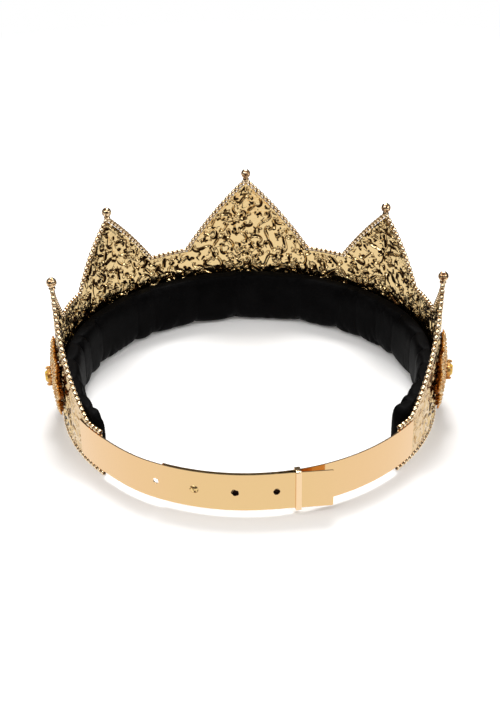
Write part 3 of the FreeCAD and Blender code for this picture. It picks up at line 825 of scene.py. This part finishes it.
def lining(material):
    """Between two gathers the tube swells like a small cushion. At each gather it is drawn in and up."""
    random = np.random.default_rng(SEED + 1)
    angles = np.linspace(-LINING_END_ANGLE, LINING_END_ANGLE, LINING_COLUMNS)
    around = turns_round(LINING_ROWS)
    turn = np.sin(around)[None, :]
    offset, z = lining_section(around)
    inward = np.clip(0.25 - np.cos(around) * 1.6, 0.0, 1.0)
    edge = np.abs(np.sin(around)) ** 2.2
    pull = np.zeros((LINING_COLUMNS, LINING_ROWS))
    lift = np.zeros((LINING_COLUMNS, LINING_ROWS))
    stops = (-LINING_END_ANGLE - 4.0,) + GATHERS + (LINING_END_ANGLE + 4.0,)
    leans = random.uniform(-2.2, 2.2, len(stops))
    sways = random.uniform(-1.0, 1.0, len(stops))
    for low, high, lean_low, lean_high, sway in zip(stops, stops[1:], leans, leans[1:], sways):
        left = low + lean_low * turn
        right = high + lean_high * turn
        share = (angles[:, None] - left) / (right - left)
        inside = (share >= 0.0) & (share < 1.0)
        swell = np.clip(4.0 * share * (1.0 - share), 0.0, 1.0) ** (0.42 + 0.1 * sway)
        slack = np.where(inside, 1.0 - swell, 0.0)
        pull += slack * (0.55 + 1.5 * edge)[None, :]
        lift += slack * GATHER_LIFT * edge[None, :]
    for _ in range(SMALL_GATHERS):
        gather = random.uniform(-LINING_END_ANGLE, LINING_END_ANGLE)
        side = random.choice([-1.0, 1.0])
        lean = random.uniform(-5.0, 5.0)
        width = random.uniform(0.5, 1.3)
        reach = np.clip(side * np.sin(around) * 1.5, 0.0, 1.0) ** 1.3
        away = (angles[:, None] - gather - lean * turn) / width
        pull += random.uniform(0.2, 0.5) * np.exp(-away ** 2) * reach[None, :]
    pull *= inward[None, :]
    lift *= -np.sign(turn) * inward[None, :]
    closing = np.clip((LINING_END_ANGLE - np.abs(angles)) / 3.2, 0.0, 1.0)
    closing = np.sqrt(1.0 - (1.0 - closing) ** 2)[:, None]
    thinning = np.clip((angles - LINING_THIN_FROM) / (LINING_END_ANGLE - LINING_THIN_FROM), 0.0, 1.0)
    pull += LINING_THIN_DEPTH * eased(thinning)[:, None] * inward[None, :]
    final_offset = LINING_MIDDLE + (offset[None, :] + pull - LINING_MIDDLE) * closing
    final_z = LINING_MIDDLE_Z + (z[None, :] + lift - LINING_MIDDLE_Z) * (0.25 + 0.75 * closing)
    points = plan(angles[:, None] + 0.0 * around[None, :], final_offset, final_z)
    part = grid_part(points, wrap_columns=True)
    piece = make_piece("lining_satin", part, material, ["lining"])


# The keeper loop: a rounded band bent round both straps

def rounded_loop(corners, radius, steps):
    """Points round a closed outline with its corners rounded, going the way the corners go."""
    loop = []
    for number, corner in enumerate(corners):
        before = np.array(corners[number - 1]) - corner
        after = np.array(corners[(number + 1) % len(corners)]) - corner
        before = before / np.linalg.norm(before)
        after = after / np.linalg.norm(after)
        centre = np.array(corner) + (before + after) * radius
        for step in np.linspace(0.0, math.pi / 2, steps):
            loop.append(centre - after * radius * math.cos(step) - before * radius * math.sin(step))
    return np.array(loop)


def keeper(material):
    spots = np.array([v.co for v in frame["nodes"]["keeper_loop"].data.vertices]) / MM
    half = KEEPER_THICKNESS / 2
    high = np.hypot(spots[:, 0], spots[:, 1] - SHIFT_Y).max() - half
    low = STRAP_INNER_FACE - KEEPER_CLEARANCE - half
    bottom = STRAP_BOTTOM - KEEPER_CLEARANCE - half
    top = STRAP_BOTTOM + STRAP_WIDTH + KEEPER_CLEARANCE + half
    loop = rounded_loop([(high, top), (low, top), (low, bottom), (high, bottom)], 0.4, 6)
    ahead = np.roll(loop, -1, 0) - np.roll(loop, 1, 0)
    ahead /= np.linalg.norm(ahead, axis=1, keepdims=True)
    normal = np.stack([ahead[:, 1], -ahead[:, 0]], 1)
    side = KEEPER_WIDTH / 2
    section = rounded_loop([(side, half), (-side, half), (-side, -half), (side, -half)], 0.16, 4)
    rows = []
    for (r, z), (normal_r, normal_z) in zip(loop, normal):
        turns = math.radians(KEEPER_ANGLE) + section[:, 0] / OVERLAP_OUTER_FACE
        radii = r + normal_r * section[:, 1]
        x = radii * np.sin(turns)
        y = SHIFT_Y - radii * np.cos(turns)
        rows.append(np.stack([x, y, z + normal_z * section[:, 1]], 1))
    part = grid_part(np.array(rows), wrap_rows=True, wrap_columns=True)
    make_piece("keeper_band", part, material, ["keeper_loop"], body="keeper")


# The torn edges of the strap's holes, and dark discs and rims in them as painted shade

def strap_axes(angle, radius):
    turn = math.radians(angle)
    out = np.array([math.sin(turn), -math.cos(turn), 0.0])
    along = np.array([math.cos(turn), math.sin(turn), 0.0])
    foot = out * radius + (0.0, SHIFT_Y, STRAP_MIDDLE)
    return np.array([along, (0.0, 0.0, 1.0), out]), foot


def ragged_disc(random, radius, rough):
    """A thin disc with a torn outline."""
    turns = turns_round(DISC_SIDES)
    reach = np.full(DISC_SIDES, radius)
    for wave in range(2, 7):
        size = rough / wave * random.uniform(-2.0, 2.0)
        reach += size * np.cos(wave * turns + random.uniform(0.0, TURN))
    reach = np.clip(reach, 0.6 * radius, HOLE_RADIUS - 0.02)
    levels = ((0.0, 0.0), (1.0, 0.0), (1.0, DISC_DEPTH), (0.0, DISC_DEPTH))
    rows = [flat_ring(share * reach, turns, z) for share, z in levels]
    return grid_part(np.array(rows), wrap_columns=True)


def hole_details(dark, metal):
    random = np.random.default_rng(SEED + 5)
    inside, burrs = [], []
    # Dark discs on the inner strap under the two holes past the stud, and dark torn rims round those holes:
    # painted shade.
    for step in (1, 2):
        axes, foot = strap_axes(STUD_ANGLE + step * HOLE_STEP_ANGLE, STRAP_OUTER_FACE + 0.02)
        points, faces = ragged_disc(random, HOLE_RADIUS - 0.1, 0.24)
        inside.append((points @ axes + foot, faces))
    torn_rings = ((-1, 0.1, 0.05, burrs), (1, 0.26, 0.16, inside), (2, 0.34, 0.14, inside))
    for step, thick, torn, pieces in torn_rings:
        axes, foot = strap_axes(STUD_ANGLE + step * HOLE_STEP_ANGLE, OVERLAP_OUTER_FACE)
        turns = turns_round(BURR_SPOTS)
        reach = np.full(BURR_SPOTS, HOLE_RADIUS + 0.3 * thick)
        for wave in (1, 2, 3, 5):
            reach += random.uniform(-torn, torn) * np.cos(wave * turns + random.uniform(0.0, TURN))
        points, faces = tube(flat_ring(reach, turns, 0.1 - thick), thick, 8, True)
        pieces.append((points @ axes + foot, faces))
    make_piece("hole_insides", joined(inside), dark)
    make_piece("hole_burrs", joined(burrs), metal)


# Materials

# Scales of the noises that many materials share, in waves a metre
SHEEN_SCALE = 420.0
GRAIN_SCALE = 900.0
CLOUD_SCALE = 160.0

# Stops of each colour ramp: a place and its colour
# The wall's stops, calm or not, darken into painted shade in the folds.
WALL_STOPS = ((0.1, (0.82, 0.61, 0.31)), (0.3, (0.5, 0.3, 0.1)), (0.55, (0.02, 0.009, 0.003)))
CALM_STOPS = ((0.1, (0.74, 0.53, 0.29)), (0.4, (0.5, 0.31, 0.13)), (0.8, (0.12, 0.06, 0.02)))
# The bead stops darken into painted shade in the gaps between the beads.
BEAD_STOPS = ((0.46, (0.98, 0.79, 0.54)), (0.66, (0.66, 0.4, 0.17)), (0.92, (0.07, 0.03, 0.01)))
# The filigree stops darken into painted shade in its depths.
FILIGREE_STOPS = ((0.26, (0.8, 0.46, 0.15)), (0.5, (0.5, 0.18, 0.025)), (1.0, (0.2, 0.055, 0.007)))
# The strap stops turn paler and pinker towards the ends, a painted reflection.
STRAP_STOPS = ((0.3, (0.8, 0.555, 0.275)), (0.62, (0.83, 0.56, 0.3)), (0.88, (0.86, 0.59, 0.34)))
FINIAL_STOPS = ((0.37, (0.12, 0.05, 0.02)), (0.48, (0.66, 0.43, 0.23)), (0.58, (0.95, 0.75, 0.5)))
STUD_STOPS = ((0.0, (0.84, 0.6, 0.27)), (0.35, (0.4, 0.2, 0.05)), (0.8, (0.06, 0.025, 0.006)))
RIM_STOPS = ((0.3, (0.66, 0.38, 0.14)), (0.7, (0.92, 0.7, 0.42)))
KEEPER_STOPS = ((0.3, (0.92, 0.66, 0.4)), (0.7, (0.93, 0.68, 0.42)))
AMBER_STOPS = ((0.35, (1.0, 0.5, 0.05)), (0.65, (1.0, 0.72, 0.09)))
SATIN_STOPS = ((0.3, (0.0014, 0.0013, 0.0014)), (0.7, (0.0034, 0.0032, 0.0034)))
# The holes' stops are near-black painted shade.
HOLE_SHADE_STOPS = ((0.4, (0.008, 0.003, 0.002)), (0.7, (0.05, 0.015, 0.008)))


class Graph:
    """The nodes of a new material or world."""

    def __init__(self, owner):
        owner.use_nodes = True
        self.owner = owner
        self.tree = owner.node_tree
        self.tree.nodes.clear()

    def add(self, kind, inputs=None, operation=None):
        """Add a node and give back its outputs. An input is a value, or another node's output."""
        node = self.tree.nodes.new("ShaderNode" + kind)
        if operation:
            node.operation = operation
        for key, value in (inputs or {}).items():
            if isinstance(value, bpy.types.NodeSocket):
                self.tree.links.new(value, node.inputs[key])
            else:
                node.inputs[key].default_value = value
        return node.outputs

    def noise(self, scale, detail=3.0, stretch=(1.0, 1.0, 1.0)):
        """Noise in object coordinates. The scale is in waves a metre."""
        where = self.add("Mapping", {"Vector": self.add("TexCoord")["Object"], "Scale": stretch})["Vector"]
        return self.add("TexNoise", {"Vector": where, "Scale": scale, "Detail": detail})["Fac"]

    def ramp(self, source, stops):
        """A colour ramp of (place, colour) stops."""
        node = self.tree.nodes.new("ShaderNodeValToRGB")
        elements = node.color_ramp.elements
        while len(elements) < len(stops):
            elements.new(0.5)
        for element, (place, colour) in zip(elements, stops):
            element.position = place
            element.color = (*colour, 1.0)
        self.tree.links.new(source, node.inputs["Fac"])
        return node.outputs["Color"]

    def span(self, source, low, high, start=0.0, end=1.0):
        """Map a value on to a range, from low at the start to high at the end."""
        limits = {"From Min": start, "From Max": end, "To Min": low, "To Max": high}
        return self.add("MapRange", {"Value": source, **limits})["Result"]

    def maths(self, operation, first, second=0.0):
        return self.add("Math", {0: first, 1: second}, operation)[0]

    def attribute(self, name):
        """A value that the mesh holds at each point."""
        node = self.tree.nodes.new("ShaderNodeAttribute")
        node.attribute_name = name
        return node.outputs["Fac"]

    def blended(self, share, first, second):
        """One colour turning into another."""
        node = self.tree.nodes.new("ShaderNodeMix")
        node.data_type = "RGBA"
        for socket, value in zip((0, 6, 7), (share, first, second)):
            self.tree.links.new(value, node.inputs[socket])
        return node.outputs[2]

    def mixed(self, share, first, second):
        """One shader turning into another."""
        return self.add("MixShader", {0: share, 1: first, 2: second})["Shader"]

    def squiggles(self, scale, half_width, share):
        """Short dark lines, painted shade of small folds on the wall and scratches on the stud: a level line
        of one noise, broken up by another.
        """
        away = self.maths("ABSOLUTE", self.maths("SUBTRACT", self.noise(scale, 1.0), 0.5))
        line = self.span(away, 1.0, 0.0, 0.0, half_width)
        gate = self.span(self.noise(scale * 0.8, 2.0, (1.3, 1.1, 0.9)), 0.0, 1.0, share, share + 0.05)
        return self.maths("MULTIPLY", line, gate)

    def surface(self, inputs, height=None, depth=0.0):
        """Finish a material: a shader with these inputs, and bumps of a depth in metres."""
        if height is not None:
            bumps = {"Height": height, "Distance": depth, "Strength": 1.0}
            inputs["Normal"] = self.add("Bump", bumps)["Normal"]
        shader = self.add("BsdfPrincipled", inputs)["BSDF"]
        self.add("OutputMaterial", {"Surface": shader})
        return self.owner

    def gold(self, colour, roughness, height, depth):
        return self.surface({"Metallic": 1.0, "Base Color": colour, "Roughness": roughness}, height, depth)


def new_graph(name):
    return Graph(bpy.data.materials.new(name))


def gold_material(name, stops, roughness, grain, depth):
    graph = new_graph(name)
    colour = graph.ramp(graph.noise(CLOUD_SCALE), stops)
    return graph.gold(colour, graph.span(graph.noise(SHEEN_SCALE), *roughness), graph.noise(grain), depth)


def embossed_gold():
    """Gold with painted shade in its folds and fine lines, and paler shade where the wall is calm."""
    graph = new_graph("embossed_gold")
    calm = graph.attribute("calm")
    line = graph.squiggles(250.0, 0.03, 0.55)
    fine = graph.maths("MULTIPLY", line, graph.maths("SUBTRACT", 1.0, calm))
    both = graph.maths("MAXIMUM", graph.attribute("shaded_hollow"), fine)
    colour = graph.blended(calm, graph.ramp(both, WALL_STOPS), graph.ramp(both, CALM_STOPS))
    roughness = graph.span(graph.noise(600.0), 0.1, 0.22)
    grain = graph.maths("MULTIPLY", graph.noise(SHEEN_SCALE, 2.0), 0.6)
    return graph.gold(colour, roughness, graph.maths("SUBTRACT", grain, fine), 0.0003)


def bead_gold():
    """Pale on the beads, with painted shade in the gaps between them."""
    graph = new_graph("bead_gold")
    spots = graph.maths("MULTIPLY", graph.noise(520.0, 1.0), 0.8)
    shade = graph.ramp(graph.maths("ADD", graph.attribute("shaded_hollow"), spots), BEAD_STOPS)
    return graph.gold(shade, 0.25, graph.noise(GRAIN_SCALE), 0.00004)


def filigree_gold():
    """Gold on top that turns to painted brown shade in the depth of the filigree."""
    graph = new_graph("filigree_gold")
    cloud = graph.maths("MULTIPLY", graph.noise(300.0), 0.7)
    shade = graph.ramp(graph.maths("ADD", graph.attribute("shaded_hollow"), cloud), FILIGREE_STOPS)
    roughness = graph.span(graph.noise(SHEEN_SCALE), 0.2, 0.4)
    return graph.gold(shade, roughness, graph.noise(GRAIN_SCALE), 0.00008)


def strap_gold():
    """Smooth pale gold, with a painted reflection that makes it paler and pinker towards the straps' ends.
    """
    graph = new_graph("polished_gold")
    x = graph.add("SeparateXYZ", {0: graph.add("TexCoord")["Object"]})["X"]
    share = graph.maths("MULTIPLY", graph.maths("ABSOLUTE", x), 1.0 / (HALF_WIDTH * MM))
    cloud = graph.maths("MULTIPLY", graph.noise(30.0), 0.12)
    shade = graph.ramp(graph.maths("ADD", share, cloud), STRAP_STOPS)
    roughness = graph.span(graph.noise(SHEEN_SCALE), 0.08, 0.14)
    return graph.gold(shade, roughness, graph.noise(60.0), 0.00003)


def speckled_gold():
    """Gold with brown spots, for the finials."""
    graph = new_graph("speckled_gold")
    spots = graph.noise(640.0, 1.0)
    return graph.gold(graph.ramp(spots, FINIAL_STOPS), 0.16, spots, 0.0003)


def stud_gold():
    """Gold with dark scratches and pits."""
    graph = new_graph("stud_gold")
    marks = graph.squiggles(520.0, 0.08, 0.38)
    return graph.gold(graph.ramp(marks, STUD_STOPS), 0.2, graph.maths("SUBTRACT", 1.0, marks), 0.0003)


def amber_glass():
    graph = new_graph("amber_glass")
    shade = graph.ramp(graph.noise(300.0), AMBER_STOPS)
    return graph.surface({"Base Color": shade, "Roughness": 0.02, "IOR": 1.62, "Transmission Weight": 0.35})


def black_satin():
    graph = new_graph("black_satin")
    shade = graph.ramp(graph.noise(90.0), SATIN_STOPS)
    roughness = graph.span(graph.noise(250.0), 0.45, 0.62)
    weave = graph.noise(2600.0, 1.0, (1.0, 1.0, 3.0))
    inputs = {"Base Color": shade, "Roughness": roughness, "Specular IOR Level": 0.02}
    return graph.surface(inputs, weave, 0.00004)


# Near-black for the discs and rims in the strap's holes: painted shade.
def hole_shade():
    graph = new_graph("hole_shade")
    cloud = graph.noise(GRAIN_SCALE)
    inputs = {"Base Color": graph.ramp(cloud, HOLE_SHADE_STOPS), "Roughness": 0.5, "Specular IOR Level": 0.05}
    return graph.surface(inputs, cloud, 0.0002)


# Stage, lights and camera

FLOOR_RADIUS = 4.0
FLOOR_SIDES = 64
FLOOR_LEVEL = -0.0001
FLOOR_COLOUR = (0.9, 0.89, 0.88, 1.0)
FLOOR_GLOW = 0.1
POOL_CENTRE = (0.0, 0.12, 0.0)
POOL_INNER = 0.3
POOL_OUTER = 0.7
POOL_STOPS = ((0.0, (1.04, 1.03, 1.01)), (1.0, (0.13, 0.12, 0.11)))
ROOM_STOPS = (
    (0.0, (0.1, 0.09, 0.085)),
    (0.62, (0.1, 0.095, 0.09)),
    (0.8, (0.9, 0.9, 0.9)),
    (1.0, (1.0, 1.0, 1.0)),
)
WHITE = (1.0, 1.0, 1.0, 1.0)
# Each light: its name, its place, its power and its size
LIGHTS = (
    ("key", (0.0, -0.6, 1.1), 15.0, 0.45),
    ("left", (0.9, 0.3, 0.8), 2.0, 0.4),
    ("right", (-0.9, 0.3, 0.7), 2.0, 0.4),
    ("glint_near", (0.1, 0.75, 1.0), 1.2, 0.3),
    ("glint_left", (0.5, 0.5, 0.8), 1.2, 0.3),
    ("glint_right", (-0.55, 0.55, 0.9), 1.2, 0.3),
)
CAMERA_TARGET = Vector((0.0, SHIFT_Y * MM, 0.025))
CAMERA_DISTANCE = 0.6329
CAMERA_ELEVATION = 32.30
CAMERA_ROLL = -0.93
LENS_PIXELS = 1312.286
SENSOR_WIDTH = 36.0
CLIP_START = 0.01
PICTURE_WIDTH = 500
PICTURE_HEIGHT = 714
PRINCIPAL_X = 248.632
PRINCIPAL_Y = 353.759


def floor_white():
    """White near the crown and glowing farther off. Shiny pieces mirror a bright pool in a dark floor."""
    graph = new_graph("floor_white")
    spot = graph.add("NewGeometry")["Position"]
    away = graph.add("VectorMath", {0: spot, 1: POOL_CENTRE}, "DISTANCE")["Value"]
    far = graph.span(away, 0.0, 1.0, POOL_INNER, POOL_OUTER)
    matte = graph.add("BsdfDiffuse", {"Color": FLOOR_COLOUR})["BSDF"]
    glow = graph.add("Emission", {"Strength": 1.0})["Emission"]
    pool = graph.add("Emission", {"Color": graph.ramp(far, POOL_STOPS)})["Emission"]
    path = graph.add("LightPath")
    own_light = graph.maths("MAXIMUM", far, FLOOR_GLOW)
    share = graph.maths("MULTIPLY", path["Is Camera Ray"], own_light)
    mirrored = graph.maths("MAXIMUM", path["Is Glossy Ray"], path["Is Transmission Ray"])
    shown = graph.mixed(mirrored, graph.mixed(share, matte, glow), pool)
    graph.add("OutputMaterial", {"Surface": shown})
    return graph.owner


def floor():
    mesh = bpy.data.meshes.new("floor")
    corners = flat_ring(FLOOR_RADIUS, turns_round(FLOOR_SIDES), FLOOR_LEVEL)
    mesh.from_pydata(corners.tolist(), [], [list(range(FLOOR_SIDES))])
    mesh.materials.append(floor_white())
    made = placed("floor", mesh)


def world():
    """A dim room with a white ceiling, which the camera sees as plain white."""
    graph = Graph(bpy.data.worlds.new("studio"))
    bpy.context.scene.world = graph.owner
    height = graph.add("SeparateXYZ", {0: graph.add("TexCoord")["Generated"]})["Z"]
    room = graph.add("Background", {"Color": graph.ramp(height, ROOM_STOPS), "Strength": 1.0})["Background"]
    white = graph.add("Background", {"Color": WHITE})["Background"]
    shown = graph.mixed(graph.add("LightPath")["Is Camera Ray"], room, white)
    graph.add("OutputWorld", {"Surface": shown})


def area_light(name, place, power, size):
    data = bpy.data.lights.new(name, "AREA")
    data.energy = power
    data.size = size
    light = placed(name, data)
    light.location = place
    light.rotation_mode = "QUATERNION"
    light.rotation_quaternion = (CAMERA_TARGET - Vector(place)).to_track_quat("-Z", "Y")


def camera():
    data = bpy.data.cameras.new("camera")
    data.sensor_width = SENSOR_WIDTH
    data.lens = LENS_PIXELS * SENSOR_WIDTH / PICTURE_HEIGHT
    data.shift_x = (PICTURE_WIDTH / 2 - PRINCIPAL_X) / PICTURE_HEIGHT
    data.shift_y = (PRINCIPAL_Y - PICTURE_HEIGHT / 2) / PICTURE_HEIGHT
    data.clip_start = CLIP_START
    made = placed("camera", data)
    lift = math.radians(CAMERA_ELEVATION)
    back = Vector((0.0, math.cos(lift), math.sin(lift)))
    made.location = CAMERA_TARGET + back * CAMERA_DISTANCE
    look = (-back).to_track_quat("-Z", "Y").to_matrix()
    made.rotation_euler = (look @ Matrix.Rotation(math.radians(CAMERA_ROLL), 3, "Z")).to_euler()
    bpy.context.scene.camera = made


def paint(node, material):
    """Give a CAD node a material in place of its own."""
    shown = frame["nodes"][node]
    shown.data.materials.clear()
    shown.data.materials.append(material)


def main():
    beads = bead_gold()
    filigree = filigree_gold()
    rim_gold = gold_material("rim_gold", RIM_STOPS, (0.15, 0.3), GRAIN_SCALE, 0.00008)
    polished = strap_gold()
    loop_gold = gold_material("keeper_gold", KEEPER_STOPS, (0.06, 0.12), 60.0, 0.00004)
    crown_wall(embossed_gold())
    top_beads(beads)
    bottom_beads(beads)
    speckled = speckled_gold()
    for name in POINTS:
        finial(name, speckled)
    medallions(filigree, rim_gold, amber_glass())
    lining(black_satin())
    keeper(loop_gold)
    hole_details(hole_shade(), loop_gold)
    for node in ("outer_strap", "inner_strap"):
        paint(node, polished)
    paint("strap_stud", stud_gold())
    floor()
    world()
    for light in LIGHTS:
        area_light(*light)
    camera()
    bpy.context.scene.view_settings.view_transform = "Standard"


main()
